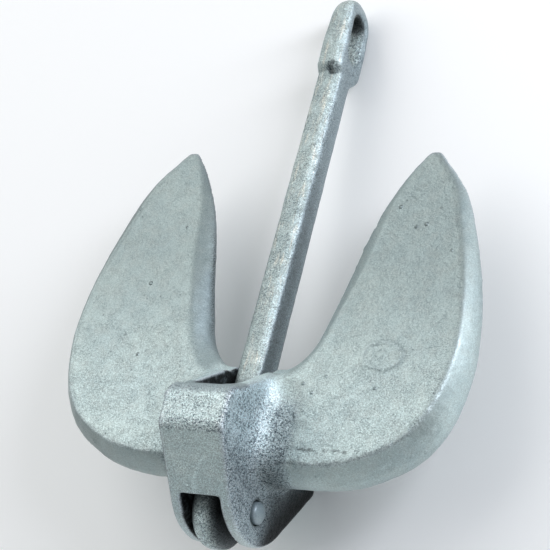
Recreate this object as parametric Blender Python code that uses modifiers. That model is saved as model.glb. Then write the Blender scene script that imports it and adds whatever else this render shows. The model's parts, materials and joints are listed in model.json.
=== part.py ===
"""A small Navy (stockless) anchor in galvanised cast iron, lying on its back.

Three pieces: the head casting, which is the crown and both flukes in one, the shank, and the
cross pin that the shank swings on. Units are metres and +Z is up.

Each piece is modelled in the head's own frame: the origin is on the pin axis, X runs along
the pin, Z points to the fluke tips and -Y is the front. Two empties then lay the anchor down.
In that frame an outline is a list of (y, z) pairs for the crown and (x, z) pairs for a fluke,
and a point of the shank is (n, s): n is the distance behind its centre line and s is the
distance from the pin.
"""

from math import acos, atan2, cos, hypot, pi, radians, sin, sqrt

import bmesh
import bpy
from mathutils import Matrix, Vector

# ---- driving dimensions ----
U = 0.2370  # from the pin axis to the fluke tips; the other sizes are shares of it
GAP = 0.0003  # clearance between pieces that touch

SHANK_LEAN = radians(2.5)  # the shank leans this far behind the plane of the flukes

CROWN_HALF_WIDTH = 0.092 * U
CROWN_DEPTH = 0.270 * U  # from the pin to the front or back face
FLANK_ANGLE = radians(48.5)  # slope of the V-shaped underside
KEEL_RADIUS = 0.181 * U  # rounding at the bottom of the V
KEEL_DROP = 0.083 * U  # from the pin down to the bottom of the V
SHOULDER_Z = 0.2 * U  # where the front face starts to round over
SHOULDER_RADIUS = 0.05 * U
ROOF_HALF_DEPTH = 0.06 * U  # flat middle part of the crown's top
ROOF_Z = 0.35 * U
CROWN_EDGE = 0.010 * U

SLOT_HALF_WIDTH = 0.056 * U
SLOT_MOUTH = (0.1475 * U, -0.004 * U)  # lower end of the slot's front and back walls
SLOT_RIM = (0.2 * U, 0.2625 * U)  # upper end of them, where the shank stops
SLOT_CORNER = 0.045 * U  # the upper end is left round at its front right corner
SLOT_REACH = 0.5 * U  # the slot's cutter runs this far above and below the pin
CUT_HALF_LENGTH = 0.2 * U  # half the length of the cutters for the holes

PIN_RADIUS = 0.0288 * U
PIN_HOLE_RADIUS = 0.0312 * U
PIN_HALF_LENGTH = 0.102 * U
PIN_DOME = 0.012 * U  # height of the domed ends
DOME_STEPS = 5

# middle line of a fluke's edges, from the crown round to the tip
FLUKE_INNER = [(0.02, 0.370), (0.095, 0.372), (0.153, 0.434), (0.184, 0.541), (0.242, 0.790),
               (0.296, 0.920), (0.347, 0.998)]
FLUKE_OUTER = [(0.02, 0.083), (0.200, 0.083), (0.363, 0.108), (0.507, 0.204), (0.573, 0.379),
               (0.563, 0.603), (0.488, 0.859), (0.388, 0.994)]
FLUKE_TIP = (0.370, 1.004)
FLUKE_STATIONS = 34
ROOT_HALF_THICKNESS = 0.0856  # at the height of the pin, as a share of U
TIP_HALF_THICKNESS = 0.0046
FACE_SWELL = 0.0468  # how far the faces swell between the root and the tip
EDGE_PROUD = 0.19  # an edge stands out past its line by this share of the half-thickness
INNER_SLOPE = 0.055 * U  # and slopes in by this much from there to the faces
OUTER_SLOPE = 0.040 * U
EDGE_STEPS = (-1.0, -0.6, -0.2, 0.2, 0.6, 1.0)  # from the front face to the back face
EDGE_POWER = 1.5
EDGE_SHARE = 0.4  # it slopes in by at most this share of the fluke's width
EDGE_DRAFT = 1.4  # and by at most this share of the half-thickness

COVE_RADIUS = 0.08 * U  # fillet between the crown's sides and the fluke faces
COVE_MIDDLE = 0.205 * U
COVE_HALF_HEIGHT = 0.135 * U
COVE_ROWS = 13
COVE_END = 0.12  # share of the radius that is left at the cove's ends
COVE_POWER = 0.6  # how fully it keeps its radius between the ends
COVE_ROOT = 0.02 * U  # how far the cove is sunk into both solids

BOSS_RADIUS = 0.102 * U
BOSS_HALF_WIDTH = 0.0395 * U
SHANK_OFFSET = GAP + BOSS_HALF_WIDTH - SLOT_HALF_WIDTH  # it sits against the slot's left side
BOSS_EDGE = 0.033 * U
BORE_RADIUS = 0.0322 * U

BAR_FOOT = (0.0385 * U, 0.051 * U)  # half-width and half-depth at the pin
BAR_NECK = (0.041 * U, 0.0365 * U)  # the same at the neck of the eye
BAR_LENGTH = 1.27 * U
BAR_EDGE = 0.015 * U

EYE_CENTRE = (0.0105 * U, 1.4505 * U)  # centre of the eye's round end
EYE_RADIUS = 0.0675 * U
EYE_HALF_WIDTH = 0.0425 * U
EYE_FOOT = 1.285 * U  # where the eye's straight sides end
EYE_STEP = (1.262 * U, 0.0095 * U)  # its height and middle at the step in front
EYE_STEP_SIZE = (0.04 * U, 0.0455 * U)  # half-width and half-depth there
EYE_NECK = 1.235 * U  # where the eye has run out into the bar
EYE_NECK_SHARE = 0.9  # its depth there, just inside the bar's faces
EYE_EDGE = 0.02 * U
EYE_CREST = 1.365 * U  # where its cheeks start to close over the top
EYE_CREST_SHARE = 0.25  # their distance at the very top
EYE_RINGS = 8  # round its end
EYE_END_ANGLE = radians(84)  # where the round end is cut off flat
EYE_HOLE_N = 0.010 * U
EYE_HOLE_RADIUS = 0.033 * U
EYE_HOLE_ENDS = (1.352 * U, 1.430 * U)  # centres of the hole's round ends

ARC_STEP = radians(7.5)
CORNER_STEPS = 4  # round each corner of a rounded rectangle
ROUND_SIDES = 48
CURVE_STEPS = 24  # between two points of a smooth path
SHARP_ANGLE = radians(30)  # edges sharper than this are bevelled, and shaded sharp
FLAT_ANGLE = radians(0.5)  # faces closer than this to one plane are made one
MERGE_DISTANCE = 1e-5

ZINC = (0.46, 0.51, 0.51, 1.0)
STEEL = (0.42, 0.46, 0.49, 1.0)

SWINGING = ("shank", "shank_boss", "shank_eye", "eye_hole", "pin_bore")


# ---- scene helpers ----
def clear_scene():
    for thing in list(bpy.data.objects):
        bpy.data.objects.remove(thing, do_unlink=True)


def collection(name):
    made = bpy.data.collections.new(name)
    bpy.context.scene.collection.children.link(made)
    return made


def material(name, colour, roughness, metallic):
    made = bpy.data.materials.new(name)
    made.use_nodes = True
    shader = made.node_tree.nodes["Principled BSDF"]
    shader.inputs["Base Color"].default_value = colour
    shader.inputs["Roughness"].default_value = roughness
    shader.inputs["Metallic"].default_value = metallic
    return made


def mesh_object(name, mesh, group):
    made = bpy.data.objects.new(name, mesh)
    group.objects.link(made)
    return made


def object_from_bmesh(name, bm, group):
    bmesh.ops.recalc_face_normals(bm, faces=bm.faces)
    mesh = bpy.data.meshes.new(name)
    bm.to_mesh(mesh)
    bm.free()
    return mesh_object(name, mesh, group)


def bevel(target, width, segments=3):
    made = target.modifiers.new("rounded edges", "BEVEL")
    made.width = width
    made.segments = segments
    made.limit_method = "ANGLE"
    made.angle_limit = SHARP_ANGLE


def combine(target, operation, tool):
    """Join the tool to the target or cut it out, and show the tool only as a wire guide."""
    made = target.modifiers.new(tool.name, "BOOLEAN")
    made.operation = operation
    made.solver = "EXACT"
    made.object = tool
    tool.hide_render = True
    tool.display_type = "WIRE"


def shade(target):
    target.data.shade_smooth()
    target.data.set_sharp_from_angle(angle=SHARP_ANGLE)


# ---- outlines ----
def arc(centre, radius, start, end):
    """Points on an arc, by the angle from the first axis towards the second."""
    count = max(2, round(abs(end - start) / ARC_STEP))
    angles = [start + (end - start) * i / count for i in range(count + 1)]
    return [(centre[0] + radius * cos(a), centre[1] + radius * sin(a)) for a in angles]


def smooth_path(points, count):
    """Evenly spaced points on a Catmull-Rom curve through the given ones."""
    points = [Vector(p) for p in points]
    padded = [2 * points[0] - points[1], *points, 2 * points[-1] - points[-2]]
    dense = [points[0]]
    for before, a, b, after in zip(padded, padded[1:], padded[2:], padded[3:]):
        for i in range(1, CURVE_STEPS + 1):
            t = i / CURVE_STEPS
            bend = 2 * before - 5 * a + 4 * b - after
            twist = 3 * a - before - 3 * b + after
            dense.append((2 * a + (b - before) * t + bend * t**2 + twist * t**3) / 2)
    reach = [0.0]
    for a, b in zip(dense, dense[1:]):
        reach.append(reach[-1] + (b - a).length)
    path = []
    k = 0
    for i in range(count):
        wanted = reach[-1] * i / (count - 1)
        while k < len(dense) - 2 and reach[k + 1] < wanted:
            k += 1
        share = (wanted - reach[k]) / (reach[k + 1] - reach[k])
        path.append(dense[k].lerp(dense[k + 1], share))
    return path


def prism(name, outline, half_width, group):
    """A solid with a flat (y, z) outline that runs along X from -half_width to +half_width."""
    curve = bpy.data.curves.new(name, "CURVE")
    curve.dimensions = "2D"
    curve.fill_mode = "BOTH"
    curve.extrude = half_width
    spline = curve.splines.new("POLY")
    spline.points.add(len(outline) - 1)
    spline.use_cyclic_u = True
    for point, (y, z) in zip(spline.points, outline):
        point.co = (y, z, 0.0, 1.0)
    flat = mesh_object(name, curve, group)
    mesh = bpy.data.meshes.new_from_object(flat.evaluated_get(bpy.context.evaluated_depsgraph_get()))
    bpy.data.objects.remove(flat, do_unlink=True)
    # the curve's flat x, y and extrusion become the head's Y, Z and X
    mesh.transform(Matrix(((0, 0, 1, 0), (1, 0, 0, 0), (0, 1, 0, 0), (0, 0, 0, 1))))
    bm = bmesh.new()
    bm.from_mesh(mesh)
    bmesh.ops.remove_doubles(bm, verts=bm.verts, dist=MERGE_DISTANCE)
    bmesh.ops.dissolve_limit(bm, angle_limit=FLAT_ANGLE, verts=bm.verts, edges=bm.edges)
    return object_from_bmesh(name, bm, group)


def cross_cylinder(name, radius, half_length, group):
    """A cylinder along X, centred on the pin axis."""
    bm = bmesh.new()
    bmesh.ops.create_cone(bm, cap_ends=True, segments=ROUND_SIDES, radius1=radius, radius2=radius,
                          depth=2 * half_length, matrix=Matrix.Rotation(pi / 2, 4, "Y"))
    return object_from_bmesh(name, bm, group)


def loft(name, rings, group):
    """A closed solid through rings of points, with flat caps on the first and the last."""
    bm = bmesh.new()
    rows = [[bm.verts.new(point) for point in ring] for ring in rings]
    for low, high in zip(rows, rows[1:]):
        for i in range(len(low)):
            j = (i + 1) % len(low)
            bm.faces.new((low[i], low[j], high[j], high[i]))
    bm.faces.new(rows[0])
    bm.faces.new(rows[-1])
    bmesh.ops.remove_doubles(bm, verts=bm.verts, dist=MERGE_DISTANCE)
    return object_from_bmesh(name, bm, group)


def rounded_ring(a, b, n, s, radii):
    """A section at the height s: a rectangle of half-width a and half-depth b, centred on y = n.

    The radii are those of its corners, from the back right one round by the left.
    """
    ring = []
    for quarter, (side, face, r) in enumerate(zip((1, -1, -1, 1), (1, 1, -1, -1), radii)):
        for step in range(CORNER_STEPS + 1):
            angle = pi / 2 * (quarter + step / CORNER_STEPS)
            x = side * (a - r) + r * cos(angle)
            y = face * (b - r) + r * sin(angle)
            ring.append((x, n + y, s))
    return ring


# ---- head casting ----
def crown_outline():
    """The crown's (y, z) outline, from the middle of its underside round the back to the front."""
    keel_z = KEEL_RADIUS - KEEL_DROP
    down = -pi / 2
    back = arc((0.0, keel_z), KEEL_RADIUS, down, down + FLANK_ANGLE)[1:]
    flank_y, flank_z = back[-1]
    slope = sin(FLANK_ANGLE) / cos(FLANK_ANGLE)
    back.append((CROWN_DEPTH, flank_z + (CROWN_DEPTH - flank_y) * slope))
    back += arc((CROWN_DEPTH - SHOULDER_RADIUS, SHOULDER_Z), SHOULDER_RADIUS, 0.0, pi / 2)
    back.append((ROOF_HALF_DEPTH, ROOF_Z))
    front = [(-y, z) for y, z in reversed(back)]
    return [(0.0, -KEEL_DROP), *back, *front]


def half_thickness(z):
    """Half the thickness of a fluke at a height z above the pin."""
    t = z / U
    taper = ROOT_HALF_THICKNESS + (TIP_HALF_THICKNESS - ROOT_HALF_THICKNESS) * t
    return U * (taper + FACE_SWELL * t * (1 - t))


def fluke_ring(inner, outer):
    """One section of a fluke, from its inner edge across to its outer edge and back."""
    across = (outer - inner).normalized()
    width = (outer - inner).length
    ring = []
    for edge, slope, inward in ((inner, INNER_SLOPE, across), (outer, OUTER_SLOPE, -across)):
        half = half_thickness(edge.y)
        slope = min(slope, EDGE_SHARE * width, EDGE_DRAFT * half)
        for step in EDGE_STEPS if edge is inner else reversed(EDGE_STEPS):
            x, z = edge + inward * (slope * abs(step) ** EDGE_POWER - EDGE_PROUD * half)
            ring.append((x, step * half_thickness(z), z))
    return ring


def fluke(name, side, group):
    """A fluke on the right, side 1, or on the left, side -1."""
    inner = [p * U for p in smooth_path(FLUKE_INNER, FLUKE_STATIONS)]
    outer = [p * U for p in smooth_path(FLUKE_OUTER, FLUKE_STATIONS)]
    rings = [fluke_ring(a, b) for a, b in zip(inner, outer)]
    tip_x, tip_z = FLUKE_TIP[0] * U, FLUKE_TIP[1] * U
    last = rings[-1]
    rings.append([((x + tip_x) / 2, y / 2, tip_z) for x, y, z in last])
    rings = [[(side * x, y, z) for x, y, z in ring] for ring in rings]
    return loft(name, rings, group)


def cove(name, side, face, group):
    """The fillet between one side of the crown and one face of a fluke."""
    rings = []
    for row in range(COVE_ROWS):
        t = 2 * row / (COVE_ROWS - 1) - 1
        z = COVE_MIDDLE + COVE_HALF_HEIGHT * t
        radius = COVE_RADIUS * (COVE_END + (1 - COVE_END) * (1 - t**2) ** COVE_POWER)
        wall = CROWN_HALF_WIDTH
        skin = half_thickness(z)
        curve = arc((wall + radius, skin + radius), radius, pi, 3 * pi / 2)
        corner = [(wall + radius, skin - COVE_ROOT), (wall - COVE_ROOT, skin - COVE_ROOT),
                  (wall - COVE_ROOT, skin + radius)]
        rings.append([(side * x, face * y, z) for x, y in curve + corner])
    return loft(name, rings, group)


def slot_solid(group):
    """The space that the shank swings in. It widens from the mouth in the underside to the rim."""
    mouth_y, mouth_z = SLOT_MOUTH
    rim_y, rim_z = SLOT_RIM
    sections = ((-SLOT_REACH, mouth_y, 0.0), (mouth_z, mouth_y, 0.0), (rim_z, rim_y, SLOT_CORNER),
                (SLOT_REACH, rim_y, SLOT_CORNER))
    rings = [rounded_ring(SLOT_HALF_WIDTH, y, 0.0, z, (0.0, 0.0, 0.0, corner))
             for z, y, corner in sections]
    return loft("shank_slot", rings, group)


def make_head(parts, cutters):
    head = prism("head_casting", crown_outline(), CROWN_HALF_WIDTH, parts)
    bevel(head, CROWN_EDGE)
    for side, hand in ((1, "right"), (-1, "left")):
        combine(head, "UNION", fluke(f"{hand}_fluke", side, cutters))
        for face, place in ((-1, "front"), (1, "back")):
            combine(head, "UNION", cove(f"{hand}_{place}_cove", side, face, cutters))
    combine(head, "DIFFERENCE", slot_solid(cutters))
    combine(head, "DIFFERENCE", cross_cylinder("pin_hole", PIN_HOLE_RADIUS, CUT_HALF_LENGTH, cutters))
    shade(head)
    return head


# ---- shank ----
def eye_ring(a, b, n, s):
    """A section of the eye, with its corners as round as it has room for."""
    return rounded_ring(a, b, n, s, [min(EYE_EDGE, a, b)] * 4)


def eye_solid(group):
    """The eye without its hole: a run-out from the bar, straight cheeks and a round end."""
    n, s = EYE_CENTRE
    top = s + EYE_RADIUS
    rings = [eye_ring(EYE_NECK_SHARE * BAR_NECK[0], EYE_NECK_SHARE * BAR_NECK[1], 0.0, EYE_NECK),
             eye_ring(*EYE_STEP_SIZE, EYE_STEP[1], EYE_STEP[0]),
             eye_ring(EYE_HALF_WIDTH, EYE_RADIUS, n, EYE_FOOT),
             eye_ring(EYE_HALF_WIDTH, EYE_RADIUS, n, EYE_CREST)]
    for i in range(EYE_RINGS + 1):
        angle = EYE_END_ANGLE * i / EYE_RINGS
        height = s + EYE_RADIUS * sin(angle)
        closing = sqrt(1 - ((height - EYE_CREST) / (top - EYE_CREST)) ** 2)
        width = EYE_HALF_WIDTH * (EYE_CREST_SHARE + (1 - EYE_CREST_SHARE) * closing)
        rings.append(eye_ring(width, EYE_RADIUS * cos(angle), n, height))
    return loft("shank_eye", rings, group)


def eye_hole_outline():
    low, high = EYE_HOLE_ENDS
    upper = arc((EYE_HOLE_N, high), EYE_HOLE_RADIUS, 0.0, pi)
    lower = arc((EYE_HOLE_N, low), EYE_HOLE_RADIUS, pi, 2 * pi)
    return upper + lower


def make_shank(parts, cutters):
    sections = ((0.0, BAR_FOOT), (BAR_LENGTH, BAR_NECK))
    rings = [[(-a, -b, s), (a, -b, s), (a, b, s), (-a, b, s)] for s, (a, b) in sections]
    shank = loft("shank", rings, parts)
    bevel(shank, BAR_EDGE)
    boss = cross_cylinder("shank_boss", BOSS_RADIUS, BOSS_HALF_WIDTH, cutters)
    bevel(boss, BOSS_EDGE)
    combine(shank, "UNION", boss)
    combine(shank, "UNION", eye_solid(cutters))
    combine(shank, "DIFFERENCE", prism("eye_hole", eye_hole_outline(), CUT_HALF_LENGTH, cutters))
    combine(shank, "DIFFERENCE", cross_cylinder("pin_bore", BORE_RADIUS, CUT_HALF_LENGTH, cutters))
    shade(shank)
    return shank


# ---- cross pin ----
def make_pin(parts):
    """The pin, turned about Z: a straight bar with a shallow dome on each end."""
    angles = [pi / 2 * i / DOME_STEPS for i in range(DOME_STEPS + 1)]
    foot = PIN_HALF_LENGTH - PIN_DOME
    upper = [(PIN_RADIUS * sin(a), foot + PIN_DOME * cos(a)) for a in angles]
    profile = upper + [(r, -z) for r, z in reversed(upper)]
    bm = bmesh.new()
    verts = [bm.verts.new((r, 0.0, z)) for r, z in profile]
    for a, b in zip(verts, verts[1:]):
        bm.edges.new((a, b))
    mesh = bpy.data.meshes.new("crown_pin")
    bm.to_mesh(mesh)
    bm.free()
    pin = mesh_object("crown_pin", mesh, parts)
    turn = pin.modifiers.new("turned", "SCREW")
    turn.axis = "Z"
    turn.steps = ROUND_SIDES
    turn.render_steps = ROUND_SIDES
    turn.use_merge_vertices = True
    turn.merge_threshold = MERGE_DISTANCE
    turn.use_smooth_shade = True
    pin.rotation_euler = (0.0, pi / 2, 0.0)
    return pin


# ---- how the anchor lies ----
def shank_point(n, s):
    """A point of the shank in the head's (y, z), with the shank leaning back."""
    return (s * sin(SHANK_LEAN) + n * cos(SHANK_LEAN), s * cos(SHANK_LEAN) - n * sin(SHANK_LEAN))


def lying_pose():
    """The floor's slope against the head's Z, and the pin's (y, z) above the middle of the base.

    The floor touches two round corners, the crown's back shoulder and the back of the eye.
    """
    shoulder = (CROWN_DEPTH - SHOULDER_RADIUS, SHOULDER_Z)
    eye = shank_point(*EYE_CENTRE)
    dy, dz = shoulder[0] - eye[0], shoulder[1] - eye[1]
    slope = atan2(dz, dy) + acos((EYE_RADIUS - SHOULDER_RADIUS) / hypot(dy, dz))
    pin_height = shoulder[0] * cos(slope) + shoulder[1] * sin(slope) + SHOULDER_RADIUS
    eye_end = eye[1] * cos(slope) - eye[0] * sin(slope) + EYE_RADIUS
    return slope, (BOSS_RADIUS - eye_end) / 2, pin_height


def empty(name, group):
    made = bpy.data.objects.new(name, None)
    group.objects.link(made)
    return made


def main():
    clear_scene()
    parts = collection("navy_anchor")
    cutters = collection("cutters")

    head = make_head(parts, cutters)
    shank = make_shank(parts, cutters)
    pin = make_pin(parts)
    head.data.materials.append(material("galvanised_head", ZINC, 0.55, 0.35))
    shank.data.materials.append(material("galvanised_shank", ZINC, 0.5, 0.4))
    pin.data.materials.append(material("galvanised_pin", STEEL, 0.45, 0.6))

    slope, pin_y, pin_height = lying_pose()
    pin_axis = empty("pin_axis", parts)
    pin_axis.location = (0.0, pin_y, pin_height)
    pin_axis.rotation_euler = (-pi / 2 - slope, 0.0, 0.0)
    shank_hinge = empty("shank_hinge", parts)
    shank_hinge.parent = pin_axis
    shank_hinge.location = (SHANK_OFFSET, 0.0, 0.0)
    shank_hinge.rotation_euler = (-SHANK_LEAN, 0.0, 0.0)

    for thing in [head, pin, shank, *cutters.objects]:
        thing.parent = shank_hinge if thing.name in SWINGING else pin_axis


main()
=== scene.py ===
"""Looks of a small galvanised Navy anchor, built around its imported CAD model.

The three CAD pieces are remeshed finely, their edges are worn round as a sand casting's are, and
the marks of casting and dipping are raised or sunk in the surface. The zinc is procedural.

Shapes are worked on in the head's own frame, in units of its reach: the origin is on the pin axis,
x runs along the pin, z points to the fluke tips and -y is the front. The shank has a frame like it,
whose z runs along the bar. A number without a unit is a length in that unit, a part of 1, or for
noise the number of features per metre.
"""

import json
from math import cos, radians, sin

import bmesh
import bpy
import numpy as np
from mathutils import Matrix, Vector, noise


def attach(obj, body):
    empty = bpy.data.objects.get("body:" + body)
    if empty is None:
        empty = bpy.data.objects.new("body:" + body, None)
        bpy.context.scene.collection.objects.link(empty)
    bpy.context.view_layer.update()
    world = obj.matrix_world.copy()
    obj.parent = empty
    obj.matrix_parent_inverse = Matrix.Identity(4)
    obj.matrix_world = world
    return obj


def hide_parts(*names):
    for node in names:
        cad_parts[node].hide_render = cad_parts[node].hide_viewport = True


MM = 0.001

# sizes of the fine meshes' cells, in metres
HEAD_VOXEL = 0.00125
SHANK_VOXEL = 0.0007
PIN_VOXEL = 0.0005

# the head
TIP_REACH = 1.004  # the fluke tips' z
CROWN_HALF_WIDTH = 0.092
SLOT_HALF_WIDTH = 0.056
SLOT_MOUTH = (0.1475, -0.004)  # y and z of the slot walls' lower end
SLOT_RIM = (0.200, 0.2625)  # and of their upper end
FLANK_ANGLE = radians(48.5)  # slope of the V-shaped underside
FLANK_REACH = 0.116  # from the pin axis square to a flank
PIN_HOLE_RADIUS = 0.0312
PAD_AT = (0.363, 0.409)  # x and z of the pad on the right fluke
PAD_SIZE = (0.062, 0.042)  # its half width and half height
ROUND_MARK_AT = (0.352, 0.296)
ROUND_MARK_RADIUS = 0.026
NICK_AT = (0.066, -0.053)  # x and z, on the crown's front flank
SHOULDER_HEIGHT = 0.130  # z at which the crown's V ends and its upright front begins
CREASE_HEIGHT = 0.150  # z of the crease under the right fluke's face

# the shank
EYE_HOLE = (0.010, 0.033, 1.352, 1.430)  # its middle, its radius and its round ends' centres
GATE_AT = (-0.002, 1.271)  # x and z of the scar where the eye begins
GATE_SIZE = (0.024, 0.021)
EYE_STEP = (1.268, 1.285)  # z of the small step there

# the camera, in the head's frame
CAMERA_AT = Vector((2.193, -3.732, -0.957))
CAMERA_AIM = Vector((-0.022, 0.0, 0.641))
CAMERA_ROLL = radians(13.40)
CAMERA_LENS = 115.38

# linear colours of the zinc
PALE_ZINC = (0.50, 0.60, 0.59, 1.0)
SHADED_ZINC = (0.43, 0.53, 0.535, 1.0)
PALE_STEEL = (0.28, 0.36, 0.38, 1.0)
SHADED_STEEL = (0.21, 0.28, 0.31, 1.0)
WARM_PATCH = (0.66, 0.70, 0.66, 1.0)
BLUISH_TINT_AND_REFLECTION = (0.38, 0.475, 0.53, 1.0)
RIDGE_WEAR_AND_HIGHLIGHT = (0.74, 0.80, 0.88, 1.0)
HOLLOW_SHADE_COLOUR = (0.16, 0.22, 0.24, 1.0)
CREAM_STREAK = (0.78, 0.77, 0.68, 1.0)
GLINT = (0.86, 0.9, 0.92, 1.0)
GRIT = (0.07, 0.10, 0.12, 1.0)
PIT = (0.07, 0.09, 0.1, 1.0)


# ---- frames ----
class Frame:
    """A piece's own frame: turns points between it and the row frame."""

    def __init__(self, origin, across, back, unit):
        x = Vector(across).normalized()
        y = Vector(back).normalized()
        self.turn = np.array([x, y, x.cross(y)]).T
        self.origin = np.array(origin)
        self.unit = unit

    def local(self, points):
        return (points - self.origin) @ self.turn / self.unit

    def row(self, points):
        return np.array(points) @ self.turn.T * self.unit + self.origin

    def direction(self, vectors):
        return vectors @ self.turn


def make_frames(frame):
    """The head's frame, from the joint and the crown's flat face, and the shank's, which leans."""
    joint = frame["joints"][0]
    mounts = {m["name"]: m for m in frame["record"]["mounts"]}
    back = -Vector(mounts["crown_front_face"]["axis"])
    head = Frame(joint["pos_m"], (1, 0, 0), back, 1.0)
    reach = head.local(points_of(frame["nodes"]["head_casting"].data))[:, 2].max()
    head.unit = reach / TIP_REACH
    lean = radians(sum(joint["range_deg"]) / 2)
    leaning = Matrix.Rotation(-lean, 3, "X") @ back
    shank = Frame(joint["pos_m"], (1, 0, 0), leaning, head.unit)
    return head, shank


# ---- meshes as arrays ----
def points_of(mesh):
    flat = np.empty(len(mesh.vertices) * 3, np.float32)
    mesh.vertices.foreach_get("co", flat)
    return flat.reshape(-1, 3).astype(float)


def normals_of(mesh):
    flat = np.empty(len(mesh.vertices) * 3, np.float32)
    mesh.vertex_normals.foreach_get("vector", flat)
    return flat.reshape(-1, 3).astype(float)


def set_points(mesh, points):
    mesh.vertices.foreach_set("co", points.astype(np.float32).ravel())
    mesh.update()


def edges_of(mesh):
    ends = np.empty(len(mesh.edges) * 2, np.int32)
    mesh.edges.foreach_get("vertices", ends)
    return ends.reshape(-1, 2)


def neighbour_mean(values, ends, counts):
    """The mean of each vertex's neighbours, for columns of values."""
    a, b = ends.T
    n = len(values)
    sums = [np.bincount(a, column[b], n) + np.bincount(b, column[a], n) for column in values.T]
    return np.stack(sums, axis=1) / counts


def relax(values, ends, rounds, where=None):
    """Moves each vertex's values half-way to its neighbours' mean, each round, or less by where."""
    share = 0.5 if where is None else 0.5 * where[:, None]
    counts = np.bincount(ends.ravel(), minlength=len(values))[:, None]
    for _ in range(rounds):
        values = values + share * (neighbour_mean(values, ends, counts) - values)
    return values


def smoothstep(low, high, x):
    t = np.clip((x - low) / (high - low), 0.0, 1.0)
    return t * t * (3 - 2 * t)


def band(low, high, soft, x):
    """1 between low and high, and 0 from soft outside them."""
    return smoothstep(low - soft, low, x) * (1 - smoothstep(high, high + soft, x))


def bell(distance):
    """1 at no distance, falling smoothly to a third at 1."""
    return np.exp(-(distance**2))


def noise_at(points, scale, octaves=3, seed=0.0):
    """Fractal noise from about -1 to 1 at each point, with features of about 1 / scale metres."""
    shift = Vector((seed, 2.3 * seed, -1.7 * seed))
    return np.array([noise.fractal(Vector(p) * scale + shift, 1.0, 2.0, octaves) for p in points])


def store(mesh, name, values):
    """Keeps a number for each vertex, or one for all, for the material to read."""
    values = np.broadcast_to(np.asarray(values, np.float32), len(mesh.vertices))
    attribute = mesh.attributes.new(name, "FLOAT", "POINT")
    attribute.data.foreach_set("value", np.ascontiguousarray(values))


def store_bends(mesh, ends, voxel, worn=1.0):
    """Stores how far each place stands out (ridge_wear_highlight) or lies in (hollow_shade), over a few voxels:
    ridges are painted partly as wear and partly as a highlight, hollows as shade.
    """
    points = points_of(mesh)
    normals = normals_of(mesh)
    wide = relax(points, ends, 14)
    lift = ((points - wide) * normals).sum(axis=1) / voxel
    lift = relax(lift[:, None], ends, 3)[:, 0]
    # ridges get a painted highlight, partly wear as well
    store(mesh, "ridge_wear_highlight", worn * np.clip(lift, 0.0, 1.0))
    # hollows get painted shade
    store(mesh, "hollow_shade", np.clip(-lift, 0.0, 1.0))


# ---- fine copies of the CAD pieces ----
def fine_copy(name, source, voxel):
    """A new object with the CAD piece's surface as one even, closed, fine mesh."""
    mesh = source.data.copy()
    bm = bmesh.new()
    bm.from_mesh(mesh)
    bmesh.ops.remove_doubles(bm, verts=bm.verts, dist=1e-5)
    bm.to_mesh(mesh)
    bm.free()
    piece = bpy.data.objects.new(name, mesh)
    bpy.context.scene.collection.objects.link(piece)
    remesh = piece.modifiers.new("even mesh", "REMESH")
    remesh.mode = "VOXEL"
    remesh.voxel_size = voxel
    evaluated = piece.evaluated_get(bpy.context.evaluated_depsgraph_get())
    fine = bpy.data.meshes.new_from_object(evaluated)
    piece.modifiers.clear()
    piece.data = fine
    fine.materials.clear()
    for attribute in [a for a in fine.attributes if not a.is_internal and not a.is_required]:
        fine.attributes.remove(attribute)
    fine.shade_smooth()
    return piece


def finish_piece(piece, node, body, material):
    piece.data.materials.append(material)
    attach(piece, body)
    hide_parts(node)


def dot_with_pits(points, normals, where, count, seed):
    """Sinks small blow-holes and raises small drops of zinc, at places drawn at random."""
    draw = np.random.RandomState(seed)
    allowed = np.flatnonzero(where > 0.95)
    depth = np.zeros(len(points))
    for centre in draw.choice(allowed, count, replace=False):
        radius = draw.uniform(0.9, 1.9) * MM
        near = np.abs(points - points[centre]).max(axis=1) < 2 * radius
        away = np.linalg.norm(points[near] - points[centre], axis=1) / radius
        depth[near] += draw.choice((0.35, -0.3)) * radius * bell(away)
    return points - normals * depth[:, None]


# ---- the head ----
def make_head(frame, axes, material):
    piece = fine_copy("head_zinc_skin", frame["nodes"]["head_casting"], HEAD_VOXEL)
    mesh = piece.data
    ends = edges_of(mesh)
    points = relax(points_of(mesh), ends, 2)

    # the flukes' edges, the fillets beside the crown and the flukes' roots are worn rounder
    local = axes.local(points)
    x, y, z = np.abs(local[:, 0]), np.abs(local[:, 1]), local[:, 2]
    flukes = smoothstep(CROWN_HALF_WIDTH, CROWN_HALF_WIDTH + 0.05, x)
    fillets = band(0.098, 0.2, 0.02, x) * (1 - smoothstep(0.15, 0.2, y))
    roots = band(0.1, 0.21, 0.015, x) * band(-0.05, 0.09, 0.03, z)
    for where, rounds in ((flukes, 3), (fillets, 24), (roots, 40)):
        points = relax(points, ends, rounds, where)
    set_points(mesh, points)

    store_head_looks(mesh, axes)
    shape_head_marks(mesh, axes)
    store_bends(mesh, ends, HEAD_VOXEL)
    finish_piece(piece, "head_casting", "head", material)


def flank_depth(y, z):
    """How far inside the crown a place is, square to the nearer flank of its V."""
    return z * cos(FLANK_ANGLE) - y * sin(FLANK_ANGLE) + FLANK_REACH


def flow_line(x, z):
    """1 along the bent line where two streams of zinc met on the crown's front flank."""
    bend = -0.0105 + 7.5 * np.maximum(z + 0.003, 0.0) ** 2
    return bell((x - bend) / 0.004) * band(-0.012, 0.062, 0.01, z)


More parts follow.
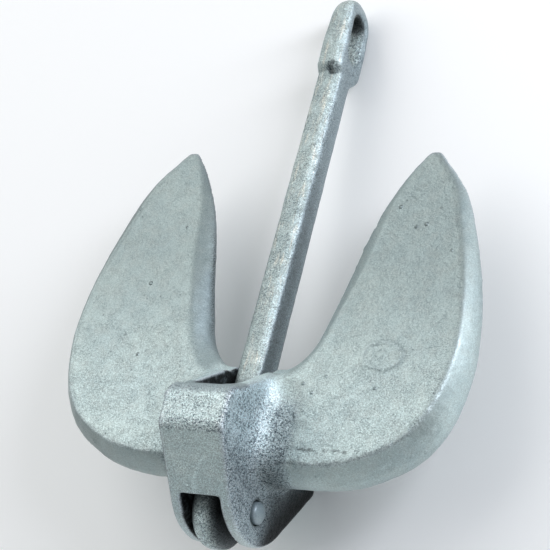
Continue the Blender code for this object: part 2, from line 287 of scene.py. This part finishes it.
class HeadPlaces:
    """Where each vertex of the head is, which way it faces and what part of the head it is on."""

    def __init__(self, mesh, axes):
        self.points = points_of(mesh)
        self.x, self.y, self.z = axes.local(self.points).T
        self.wide = np.abs(self.x)
        self.across, self.back, self.up = axes.direction(normals_of(mesh)).T
        self.outward = self.across * np.sign(self.x)

        # parts of the head, from 0 off them to 1 on them
        edge = CROWN_HALF_WIDTH
        self.crown = 1 - smoothstep(edge + 0.004, edge + 0.03, self.wide)
        self.fluke = 1 - self.crown
        self.fillet = band(edge + 0.012, 0.16, 0.03, self.wide) * band(0.0, 0.24, 0.06, self.z)
        # the broad faces at the front and back, and the crown's right and left sides
        self.face = smoothstep(0.6, 0.9, np.abs(self.back))
        self.side = self.crown * smoothstep(0.6, 0.9, np.abs(self.across))
        # the crown's upright front above its V, the crease between them and the upper edge
        steep = smoothstep(0.3, 0.6, np.abs(self.back))
        self.shoulder = self.crown * steep
        self.shoulder *= smoothstep(SHOULDER_HEIGHT - 0.004, SHOULDER_HEIGHT + 0.003, self.z)
        self.crease = self.crown * (1 - self.side)
        self.crease *= band(SHOULDER_HEIGHT - 0.008, SHOULDER_HEIGHT + 0.008, 0.008, self.z)
        self.lip = self.crown * smoothstep(0.15, 0.5, self.up)
        self.lip *= band(0.19, 0.3, 0.01, np.abs(self.y))
        # the flukes' edges that face the shank, and the lower half of them
        self.inner = self.fluke * smoothstep(0.45, 0.8, -self.outward)
        self.inner *= smoothstep(0.36, 0.45, self.z)
        self.inner_low = self.inner * band(0.36, 0.63, 0.03, self.z)
        # the corners under the flukes, the left fluke's underside and its end at the crown
        self.under = bell((self.wide - 0.125) / 0.035) * bell((self.z - 0.07) / 0.05)
        self.below = self.fluke * smoothstep(0.2, 0.5, -self.up) * (self.x < 0)
        self.left_root = smoothstep(-0.2, -0.11, self.x)


def inside_shade(at):
    """Paints shade inside the slot and the pin hole, nearly black, with a few paler lumps."""
    climb = (at.z - SLOT_MOUTH[1]) / (SLOT_RIM[1] - SLOT_MOUTH[1])
    wall = SLOT_MOUTH[0] + (SLOT_RIM[0] - SLOT_MOUTH[0]) * np.clip(climb, 0.0, 1.0)
    deep = np.abs(at.y)
    within = 1 - smoothstep(SLOT_HALF_WIDTH + 0.001, SLOT_HALF_WIDTH + 0.007, at.wide)
    within *= 1 - smoothstep(wall + 0.001, wall + 0.007, deep)
    roof = np.where(deep < 0.075, 0.371, 0.35 - 0.6 * (deep - 0.06))
    depth = np.minimum(flank_depth(deep, at.z), roof - at.z)
    slot = within * smoothstep(0.0, 0.009, depth)
    hole = np.hypot(at.y, at.z) < PIN_HOLE_RADIUS + 0.003
    hole = hole * (1 - smoothstep(0.08, 0.088, at.wide))
    lumps = smoothstep(0.0, 0.5, noise_at(at.points, 420, 2, seed=3.0))
    # painted shade, nearly black, over the slot's walls and in the pin hole
    return 1 - np.maximum(slot, hole) * (0.98 - 0.22 * lumps)


def crown_light_and_tone(at):
    """Paints light and shade into the crown's colour: its shoulder, front faces, downward faces and upper sides
    are painted lighter; painted shade falls low and towards the back of the sides, under the flukes, on its left
    side, on its lip, in its crease and round the pin hole; the fillets carry a painted highlight.
    """
    # painted shade on the sides, low down and towards the back, and under the flukes
    behind = 1 - smoothstep(0.02, 0.17, flank_depth(at.y, at.z))
    behind *= at.side * smoothstep(0.0, 0.08, at.y)
    painted_light_and_tone = (1 - 0.97 * behind**0.75) * (1 - 0.4 * at.under)
    # a painted highlight on the fillets beside the crown
    corner_highlight = bell((at.wide - 0.116) / 0.014) * smoothstep(0.3, 0.6, -at.back)
    corner_highlight *= smoothstep(0.3, 0.6, np.abs(at.across)) * band(0.17, 0.24, 0.08, at.z)
    painted_light_and_tone += 0.48 * corner_highlight
    # painted shade on the crown's left side, which faces away from the light
    left = smoothstep(0.25, 0.6, -at.across) * smoothstep(0.05, 0.1, -at.y)
    painted_light_and_tone *= 1 - 0.6 * at.crown * left
    # painted light on the sides, more upwards, and on the front faces and the shoulder
    painted_light_and_tone *= 1 + at.side * (0.4 * smoothstep(0.02, 0.2, at.z) + 0.06)
    painted_light_and_tone *= 1 + 0.25 * at.crown * at.face * (1 - at.shoulder) + 0.56 * at.shoulder
    # painted shade on the lip and in the crease, painted light on the faces that look down
    painted_light_and_tone *= 1 - 0.4 * at.lip
    painted_light_and_tone *= 1 + 0.18 * at.crown * smoothstep(0.4, 0.6, -at.up)
    painted_light_and_tone *= 1 - 0.12 * at.crease
    # painted shade on the sides round the pin hole
    rim = bell((np.hypot(at.y, at.z) - PIN_HOLE_RADIUS - 0.002) / 0.005)
    painted_light_and_tone *= 1 - at.side * rim * (0.3 + 0.6 * smoothstep(-0.01, 0.03, -at.y))
    flank = at.crown * smoothstep(0.5, 0.65, -at.up) * (at.y < 0)
    return painted_light_and_tone * (1 + 0.3 * flank * flow_line(at.x, at.z))


def fluke_light_and_tone(at):
    """Paints light and shade into the flukes' colour: painted shade towards their tips, on their inner edges, near
    their outer edges, on their left edges and on the left fluke's underside; painted light low down, on a facet of
    the inner edges and on the right edges.
    """
    # painted light low on the flukes and painted shade towards the tips; painted shade on the inner edges, with a
    # lighter painted facet on their lower half
    painted_light_and_tone = 1 + at.fluke * (0.16 - 0.42 * smoothstep(0.15, 0.7, at.z))
    painted_light_and_tone *= 1 - at.inner * (0.26 - 0.24 * smoothstep(0.0, 0.03, -at.y))
    painted_light_and_tone *= 1 + 0.04 * at.inner_low * smoothstep(0.004, 0.02, -at.y)
    # painted shade along the faces near their outer edges
    painted_light_and_tone *= 1 - 0.14 * at.fluke * at.face * band(0.03, 0.09, 0.03, at.outward)
    # painted light on the right fluke's outer edges, painted shade on the left fluke's
    bright_right = 0.22 * smoothstep(0.2, 0.3, at.z)
    edge = at.fluke * smoothstep(0.15, 0.45, at.outward)
    painted_light_and_tone *= 1 + edge * np.where(at.x > 0, bright_right, -0.25)
    # painted shade under the left fluke, most at its root
    painted_light_and_tone *= 1 - at.below * (0.22 + 0.4 * at.left_root)
    # black specks line the crease under the right fluke's face, and below it a dark line like a groove is given as
    # painted shade
    front = smoothstep(0.3, 0.6, -at.back)
    specks = smoothstep(0.1, 0.3, noise_at(at.points, 330, 2, seed=7.0))
    specks *= bell((at.z - CREASE_HEIGHT) / 0.004) * band(0.2, 0.36, 0.03, at.x)
    furrow_shade = at.fluke * band(0.14, 0.45, 0.08, -at.up) * band(0.2, 0.5, 0.08, at.x)
    return painted_light_and_tone * (1 - 0.75 * specks * front) * (1 - 0.28 * furrow_shade * front)


def head_sand(at):
    """How much of the sand's grit shows: most on the crown's sides and beside them."""
    low = 1 - smoothstep(0.25, 0.6, at.z)
    sand = 0.2 + 0.22 * at.face * low + 0.6 * at.side + 0.85 * at.fillet + 0.6 * at.under
    sand += 0.15 * at.crown * (1 - at.side)
    sand += 0.35 * at.side * (1 - smoothstep(0.0, 0.16, at.z))
    sand += 1.2 * at.inner * bell((at.y + 0.004) / 0.006) * band(0.5, 0.72, 0.05, at.z)
    sand += 0.4 * at.shoulder * band(0.14, 0.25, 0.01, at.z) + 1.3 * at.crease
    sand += 0.5 * at.below * at.left_root
    return np.clip(sand, 0.05, 1.6)


def store_head_looks(mesh, axes):
    """Stores the painted light and shade with the zinc's own lightness, the painted bluish reflection, and how
    sandy and how smooth the zinc is all over the head.
    """
    at = HeadPlaces(mesh, axes)
    store(mesh, "painted_light_and_tone", crown_light_and_tone(at) * fluke_light_and_tone(at) * inside_shade(at))
    # painted bluish reflection and shade on the crown's sides, the fillets, the lip and the lower inner edges
    bluish_tint_and_reflection = at.side + 0.55 * at.fillet + 0.5 * at.lip + 0.6 * at.inner_low
    store(mesh, "bluish_tint_and_reflection", np.clip(bluish_tint_and_reflection, 0.0, 1.0))
    store(mesh, "sand", head_sand(at))
    edge = at.fluke * smoothstep(0.06, 0.3, np.abs(at.across)) * smoothstep(0.2, 0.35, at.z)
    store(mesh, "smooth", np.maximum(edge, 0.6 * at.fluke * (1 - at.face)))


def shape_head_marks(mesh, axes):
    """Raises and sinks what casting left on the head: parting line, pads, waves and pits."""
    points = points_of(mesh)
    box = points.min(axis=0), points.max(axis=0)
    normals = normals_of(mesh)
    across, back, up = axes.direction(normals).T
    x, y, z = axes.local(points).T
    outside = smoothstep(CROWN_HALF_WIDTH, CROWN_HALF_WIDTH + 0.03, np.abs(x))
    waves = noise_at(points, 55, 3)
    coarse = noise_at(points, 150, 2, seed=4.0)

    # the flukes' edges carry the broken line where the two halves of the mould met
    on_edge = smoothstep(0.75, 0.95, 1 - np.abs(back)) * outside
    line = bell(y * axes.unit / (1.1 * MM))
    rough = smoothstep(0.2, 0.6, across * np.sign(x)) * (1 - smoothstep(0.62, 0.8, z))
    lift = MM * on_edge * line * (0.12 + 0.4 * rough * smoothstep(-0.2, 0.4, coarse))

    # plain raised pad where a maker would cast a weight, and a faint round mark under it
    front = smoothstep(0.6, 0.85, -back)
    pad = np.hypot((x - PAD_AT[0]) / PAD_SIZE[0], (z - PAD_AT[1]) / PAD_SIZE[1])
    lift += front * MM * (0.75 * bell((pad - 0.86) / 0.13) + 0.35 * (1 - smoothstep(0.8, 1.0, pad)))
    ring = np.hypot(x - ROUND_MARK_AT[0], z - ROUND_MARK_AT[1]) / ROUND_MARK_RADIUS
    lift += 0.25 * MM * front * bell((ring - 1.0) / 0.28)

    # a flow line runs down the crown's front flank, and its right edge is nicked
    flank = smoothstep(0.5, 0.65, -back) * smoothstep(0.5, 0.65, -up)
    lift += 0.5 * MM * flank * flow_line(x, z)
    nick = np.hypot((x - NICK_AT[0]) / 0.011, (z - NICK_AT[1]) / 0.004)
    lift -= 0.8 * MM * flank * (1 - smoothstep(0.4, 1.2, nick))

    # the sand's slow waves fade out where pieces run against each other
    near_slot = (1 - smoothstep(0.075, 0.088, np.abs(x))) * (1 - smoothstep(0.25, 0.268, np.abs(y)))
    clear = 1 - near_slot
    lift += clear * MM * (0.2 * waves + 0.10 * coarse - 0.12)

    points += normals * lift[:, None]
    points = dot_with_pits(points, normals, clear, 150, 21)
    set_points(mesh, np.clip(points, *box))


# ---- the shank ----
def make_shank(frame, axes, material):
    piece = fine_copy("shank_zinc_skin", frame["nodes"]["shank"], SHANK_VOXEL)
    mesh = piece.data
    ends = edges_of(mesh)
    points = relax(points_of(mesh), ends, 6)
    bar = smoothstep(0.14, 0.2, axes.local(points)[:, 2])
    points = relax(points, ends, 60, bar)
    set_points(mesh, points)

    at = ShankPlaces(mesh, axes, ends)
    points = points + normals_of(mesh) * shank_lift(at)[:, None]
    points = dot_with_pits(points, normals_of(mesh), at.free, 24, 5)
    set_points(mesh, points)
    store_shank_looks(mesh, at)
    store_bends(mesh, ends, SHANK_VOXEL, 0.6 - 0.5 * (at.from_hole < 0.03))
    finish_piece(piece, "shank", "shank_arm", material)


class ShankPlaces:
    """Where each vertex of the shank is and which way it faces, before the marks are shaped."""

    def __init__(self, mesh, axes, ends):
        points = points_of(mesh)
        facing = axes.direction(normals_of(mesh))
        self.x, self.y, self.z = axes.local(points).T
        self.off_middle = self.x - (self.x.min() + self.x.max()) / 2
        self.across, self.back, _ = facing.T
        blurred = relax(facing, ends, 160)
        blurred /= np.linalg.norm(blurred, axis=1)[:, None]
        self.soft_across, self.soft_back, _ = blurred.T
        self.free = smoothstep(0.3, 0.4, self.z)  # what stands out of the crown
        self.waves = noise_at(points, 70, 3, seed=2.0)
        self.coarse = noise_at(points, 260, 2, seed=9.0)
        self.front = smoothstep(0.01, 0.03, -self.y)
        self.from_gate = np.hypot(
            (self.x - GATE_AT[0]) / GATE_SIZE[0], (self.z - GATE_AT[1]) / GATE_SIZE[1])
        middle, radius, low, high = EYE_HOLE
        along = self.z - np.clip(self.z, low, high)
        self.from_hole = np.hypot(self.y - middle, along) - radius


def shank_lift(at):
    """How far the casting's marks stand out of the shank."""
    lift = at.free * MM * (0.16 * at.waves + 0.08 * at.coarse - 0.05)
    # the stub of a gate, broken off where the eye begins with a small step
    stub = 1 - smoothstep(0.5, 1.0, at.from_gate)
    lift -= at.front * MM * stub * (0.7 + 1.8 * at.coarse)
    step = band(*EYE_STEP, 0.006, at.z) * smoothstep(0.02, 0.035, -at.y)
    lift += 0.5 * MM * step
    # the eye's rim is worn away round its hole
    cheek = smoothstep(0.3, 0.7, np.abs(at.across))
    return lift - 1.9 * MM * cheek * (1 - smoothstep(-0.006, 0.02, at.from_hole))


def store_shank_looks(mesh, at):
    """Stores the painted light and shade with the zinc's own lightness, the painted bluish reflection, and how
    sandy, streaked and smooth the zinc is all over the shank.
    """
    past_cheek = np.maximum(np.abs(at.off_middle) - 0.03, 0.0)
    hole = 1 - smoothstep(-0.002, 0.012, at.from_hole + 0.2 * past_cheek)
    scar = at.front * (1 - smoothstep(0.55, 1.15, at.from_gate))
    in_crown = band(-0.02, 0.22, 0.04, at.z)
    side = smoothstep(0.5, 0.9, np.abs(at.across))
    # a painted highlight along the rounded edge between the front and the right side
    corner_highlight = smoothstep(0.04, 0.35, at.soft_across) * smoothstep(0.5, 0.8, -at.soft_back)
    corner_highlight *= at.free * (0.5 + 0.5 * smoothstep(-0.3, 0.3, at.coarse + at.waves))
    boss_side = smoothstep(0.0, 0.035, at.off_middle) * (1 - smoothstep(0.0, 0.08, at.z))
    boss_front = (1 - smoothstep(-0.03, 0.05, at.z)) * (1 - boss_side)
    # how much painted shade the sides get: less at the back, and less towards the eye
    behind = smoothstep(-0.015, 0.03, at.y)
    shade = (0.5 - 0.28 * behind) * (1 - 0.7 * smoothstep(0.7, 1.25, at.z))

    # the gate scar is darker zinc; inside the crown the shank gets painted shade
    painted_light_and_tone = (1 - 0.35 * scar) * (1 - 0.5 * in_crown)
    # painted shade on the front's left part
    painted_light_and_tone *= 1 - 0.12 * at.free * smoothstep(0.03, 0.4, -at.soft_across) * (1 - side)
    # painted shade at the top of the eye's hole, a little painted light below it
    painted_light_and_tone *= 1 + hole * (0.1 - smoothstep(1.41, 1.45, at.z))
    # painted shade on the sides, more where they sit in the crown
    painted_light_and_tone *= 1 - side * (shade * at.free + 0.42 * (1 - at.free))
    # painted light on the boss's front, painted shade on its right
    painted_light_and_tone *= (1 + 0.45 * boss_front) * (1 - 0.7 * boss_side)
    # a slight overall darkening, and the painted highlight along that edge
    painted_light_and_tone *= (1 - 0.03 * at.free) * (1 + 0.75 * corner_highlight)
    sand = 0.75 + 0.6 * scar - 0.15 * side * (1 - hole) + 0.6 * hole + 0.4 * (at.z < 0)
    store(mesh, "painted_light_and_tone", painted_light_and_tone)
    # painted bluish reflection on the sides and along the highlighted edge
    store(mesh, "bluish_tint_and_reflection", np.clip(side + 0.5 * corner_highlight, 0.0, 1.0))
    store(mesh, "sand", np.clip(sand, 0.0, 1.3))
    store(mesh, "streaks", at.free * smoothstep(0.6, 0.9, -at.back))
    store(mesh, "smooth", 0.0)


# ---- the pin ----
def make_pin(frame, material):
    piece = fine_copy("pin_zinc_skin", frame["nodes"]["crown_pin"], PIN_VOXEL)
    mesh = piece.data
    ends = edges_of(mesh)
    set_points(mesh, relax(points_of(mesh), ends, 6))
    for name, value in (("painted_light_and_tone", 1.0), ("bluish_tint_and_reflection", 0.5), ("sand", 0.15), ("smooth", 0.0)):
        store(mesh, name, value)
    store_bends(mesh, ends, PIN_VOXEL)
    finish_piece(piece, "crown_pin", "head", material)


# ---- material ----
class Shader:
    """A short way to write a node tree. A socket is given as a number, a colour or a socket."""

    def __init__(self, name):
        self.material = bpy.data.materials.new(name)
        self.material.use_nodes = True
        self.tree = self.material.node_tree
        self.principled = self.tree.nodes["Principled BSDF"]
        self.place = self.node("ShaderNodeTexCoord").outputs["Object"]

    def node(self, kind, **settings):
        made = self.tree.nodes.new(kind)
        for name, value in settings.items():
            setattr(made, name, value)
        return made

    def feed(self, socket, value):
        if isinstance(value, bpy.types.NodeSocket):
            self.tree.links.new(value, socket)
        else:
            socket.default_value = value

    def noise(self, scale, detail=3.0, roughness=0.55, stretch=None):
        made = self.node("ShaderNodeTexNoise")
        self.feed(made.inputs["Vector"], self.stretched(stretch) if stretch else self.place)
        made.inputs["Scale"].default_value = scale
        made.inputs["Detail"].default_value = detail
        made.inputs["Roughness"].default_value = roughness
        return made.outputs["Fac"]

    def stretched(self, scale):
        made = self.node("ShaderNodeMapping")
        self.feed(made.inputs["Vector"], self.place)
        made.inputs["Scale"].default_value = scale
        return made.outputs["Vector"]

    def spots(self, scale, radius, share):
        """1 inside small round spots, which only a share of the cells have."""
        cells = self.node("ShaderNodeTexVoronoi")
        self.feed(cells.inputs["Vector"], self.place)
        cells.inputs["Scale"].default_value = scale
        inside = self.ramp(cells.outputs["Distance"], radius, 0.35 * radius)
        chosen = self.node("ShaderNodeSeparateColor")
        self.feed(chosen.inputs["Color"], cells.outputs["Color"])
        return self.times(inside, self.ramp(chosen.outputs["Red"], share, share - 0.01))

    def attribute(self, name):
        return self.node("ShaderNodeAttribute", attribute_name=name).outputs["Fac"]

    def ramp(self, value, low, high, bottom=0.0, top=1.0):
        """Goes smoothly from bottom at low to top at high."""
        made = self.node("ShaderNodeMapRange", interpolation_type="SMOOTHSTEP", clamp=True)
        self.feed(made.inputs["Value"], value)
        ends = (("From Min", low), ("From Max", high), ("To Min", bottom), ("To Max", top))
        for name, number in ends:
            made.inputs[name].default_value = number
        return made.outputs["Result"]

    def math(self, operation, a, b):
        made = self.node("ShaderNodeMath", operation=operation)
        self.feed(made.inputs[0], a)
        self.feed(made.inputs[1], b)
        return made.outputs[0]

    def times(self, a, b):
        return self.math("MULTIPLY", a, b)

    def plus(self, a, b):
        return self.math("ADD", a, b)

    def mix(self, share, a, b, blend="MIX"):
        made = self.node("ShaderNodeMix", data_type="RGBA", blend_type=blend)
        self.feed(made.inputs["Factor"], share)
        self.feed(made.inputs[6], a)  # the node's two colour inputs are its 7th and 8th
        self.feed(made.inputs[7], b)
        return made.outputs[2]

    def grey(self, value):
        """A grey colour from a number."""
        made = self.node("ShaderNodeCombineColor")
        for channel in ("Red", "Green", "Blue"):
            self.feed(made.inputs[channel], value)
        return made.outputs["Color"]

    def bump(self, height, distance, strength):
        made = self.node("ShaderNodeBump")
        self.feed(made.inputs["Height"], height)
        made.inputs["Distance"].default_value = distance
        self.feed(made.inputs["Strength"], strength)
        self.feed(self.principled.inputs["Normal"], made.outputs["Normal"])


def zinc(name, light, dark, metallic, grain_depth):
    """Hot-dip zinc over sand-cast iron: mottled, speckled by the sand, brighter on ridges with wear and a painted
    highlight, and made lighter or darker by the painted light and shade stored on the mesh.
    """
    s = Shader(name)
    patches = s.noise(140.0, 4.0, 0.6)
    grain = s.noise(1500.0, 2.0, 0.6)
    sand = s.attribute("sand")
    smooth = s.attribute("smooth")

    # the sand's grit: dark dots in clusters, pale glints and, where it is thick, larger dots
    clusters = s.times(sand, s.ramp(s.noise(110.0, 3.0, 0.7), 0.38, 0.62, 0.3, 1.3))
    dots = s.times(s.ramp(grain, 0.52, 0.64), clusters)
    glints = s.times(s.ramp(s.noise(2300.0, 1.0, 0.6), 0.54, 0.66), s.times(sand, 0.6))
    large_dots = s.times(s.ramp(s.noise(760.0, 2.0, 0.6), 0.5, 0.62), s.ramp(sand, 0.75, 1.3))
    streaks = s.ramp(s.noise(330.0, 4.0, 0.75, (1.0, 0.07, 1.0)), 0.5, 0.7, 0.0, 0.8)

    colour = s.mix(s.ramp(s.noise(26.0, 3.0), 0.25, 0.75), dark, light)
    for share, tint in (
        (s.ramp(patches, 0.4, 0.7, 0.0, 0.2), WARM_PATCH),
        # a painted bluish reflection and shade
        (s.times(s.attribute("bluish_tint_and_reflection"), 0.65), BLUISH_TINT_AND_REFLECTION),
        # ridges: partly wear, partly a painted highlight
        (s.ramp(s.attribute("ridge_wear_highlight"), 0.12, 0.7, 0.0, 0.6), RIDGE_WEAR_AND_HIGHLIGHT),
        # painted shade in hollows
        (s.ramp(s.attribute("hollow_shade"), 0.1, 0.6, 0.0, 0.45), HOLLOW_SHADE_COLOUR),
        (s.times(streaks, s.attribute("streaks")), CREAM_STREAK),
        (glints, GLINT),
        (s.times(dots, 0.8), GRIT),
        (s.times(large_dots, 0.75), GRIT),
    ):
        colour = s.mix(share, colour, tint)
    speckle = s.grey(s.ramp(s.noise(1200.0, 3.0, 0.8), 0.34, 0.66, 1.38, 0.60))
    colour = s.mix(s.ramp(sand, 0.0, 0.6, 0.2, 1.0), colour, speckle, "MULTIPLY")
    colour = s.mix(s.times(s.spots(210.0, 0.2, 0.05), 0.5), colour, PIT)
    # the base colour is multiplied by the stored painted light and shade, with the zinc's own lightness
    painted_light_and_tone = s.grey(s.times(s.attribute("painted_light_and_tone"), 0.85))
    s.feed(s.principled.inputs["Base Color"], s.mix(1.0, colour, painted_light_and_tone, "MULTIPLY"))

    roughness = s.plus(s.ramp(patches, 0.3, 0.75, 0.30, 0.44), s.times(sand, 0.1))
    s.feed(s.principled.inputs["Roughness"], s.plus(roughness, s.times(smooth, 0.16)))
    s.principled.inputs["Metallic"].default_value = metallic

    # wrinkles, grains and drops stand out and the dots lie in, less so where the zinc ran smooth
    height = s.plus(s.noise(420.0, 3.0, 0.6), s.times(grain, s.times(sand, 0.5)))
    height = s.math("SUBTRACT", height, s.times(dots, 0.4))
    height = s.plus(height, s.times(s.spots(150.0, 0.24, 0.08), 2.2))
    s.bump(height, grain_depth, s.ramp(smooth, 0.0, 1.0, 0.8, 0.2))
    return s.material


# ---- studio ----
def make_floor():
    bm = bmesh.new()
    bmesh.ops.create_grid(bm, x_segments=1, y_segments=1, size=4.0)
    mesh = bpy.data.meshes.new("studio_floor")
    bm.to_mesh(mesh)
    bm.free()
    paper = bpy.data.materials.new("studio_paper")
    paper.use_nodes = True
    shader = paper.node_tree.nodes["Principled BSDF"]
    shader.inputs["Base Color"].default_value = (1.0, 1.0, 1.0, 1.0)
    shader.inputs["Roughness"].default_value = 0.9
    mesh.materials.append(paper)
    floor = bpy.data.objects.new("studio_floor", mesh)
    bpy.context.scene.collection.objects.link(floor)


def area_light(name, towards, distance, size, power, colour, aim):
    """A rectangular soft light that stands in a direction from the anchor and faces it."""
    data = bpy.data.lights.new(name, "AREA")
    data.shape = "RECTANGLE"
    data.size, data.size_y = size
    data.energy = power
    data.color = colour
    light = bpy.data.objects.new(name, data)
    bpy.context.scene.collection.objects.link(light)
    towards = Vector(towards).normalized()
    light.location = Vector(aim) + towards * distance
    light.rotation_euler = towards.to_track_quat("Z", "Y").to_euler()


def make_lights(aim):
    area_light("key_softbox", towards=(-0.62, 0.43, 0.66), distance=1.8, size=(2.4, 2.4),
               power=25.0, colour=(1.0, 0.995, 0.98), aim=aim)
    area_light("side_strip", towards=(0.81, 0.40, 0.44), distance=1.3, size=(0.3, 1.0),
               power=10.5, colour=(0.90, 0.92, 1.0), aim=aim)
    world = bpy.data.worlds.new("studio")
    bpy.context.scene.world = world
    world.use_nodes = True
    background = world.node_tree.nodes["Background"]
    background.inputs["Color"].default_value = (0.92, 0.97, 1.0, 1.0)
    background.inputs["Strength"].default_value = 0.40
    bpy.context.scene.view_settings.view_transform = "Standard"


def make_camera(head):
    """The camera, which is placed in the head's frame so that it keeps its view of the anchor."""
    back = (CAMERA_AT - CAMERA_AIM).normalized()
    right = Vector((0.0, 0.0, 1.0)).cross(back).normalized()
    turn = Matrix((right, back.cross(right), back)).transposed()
    turn = turn @ Matrix.Rotation(CAMERA_ROLL, 3, "Z")
    turn = (Matrix(head.turn.tolist()) @ turn).to_quaternion()
    data = bpy.data.cameras.new("photo_view")
    data.lens = CAMERA_LENS
    data.clip_start = 0.05
    camera = bpy.data.objects.new("photo_view", data)
    camera.matrix_world = Matrix.LocRotScale(Vector(head.row(CAMERA_AT)), turn, None)
    bpy.context.scene.collection.objects.link(camera)
    bpy.context.scene.camera = camera


# ---- the scene ----
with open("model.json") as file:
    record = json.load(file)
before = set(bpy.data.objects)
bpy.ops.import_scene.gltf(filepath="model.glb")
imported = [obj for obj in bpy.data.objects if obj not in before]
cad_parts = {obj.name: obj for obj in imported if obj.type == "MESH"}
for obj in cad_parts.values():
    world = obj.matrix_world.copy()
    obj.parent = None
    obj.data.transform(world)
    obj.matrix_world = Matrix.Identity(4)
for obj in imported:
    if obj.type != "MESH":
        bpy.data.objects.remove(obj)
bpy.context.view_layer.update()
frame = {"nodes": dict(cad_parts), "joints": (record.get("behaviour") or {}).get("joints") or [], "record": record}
head_axes, shank_axes = make_frames(frame)

make_camera(head_axes)
make_floor()
make_lights(head_axes.row((0.0, 0.0, 0.5)))

make_head(frame, head_axes, zinc("head_zinc", PALE_ZINC, SHADED_ZINC, 0.7, 0.0010))
make_shank(frame, shank_axes, zinc("shank_zinc", PALE_ZINC, SHADED_ZINC, 0.7, 0.0010))
make_pin(frame, zinc("pin_zinc", PALE_STEEL, SHADED_STEEL, 0.35, 0.0002))
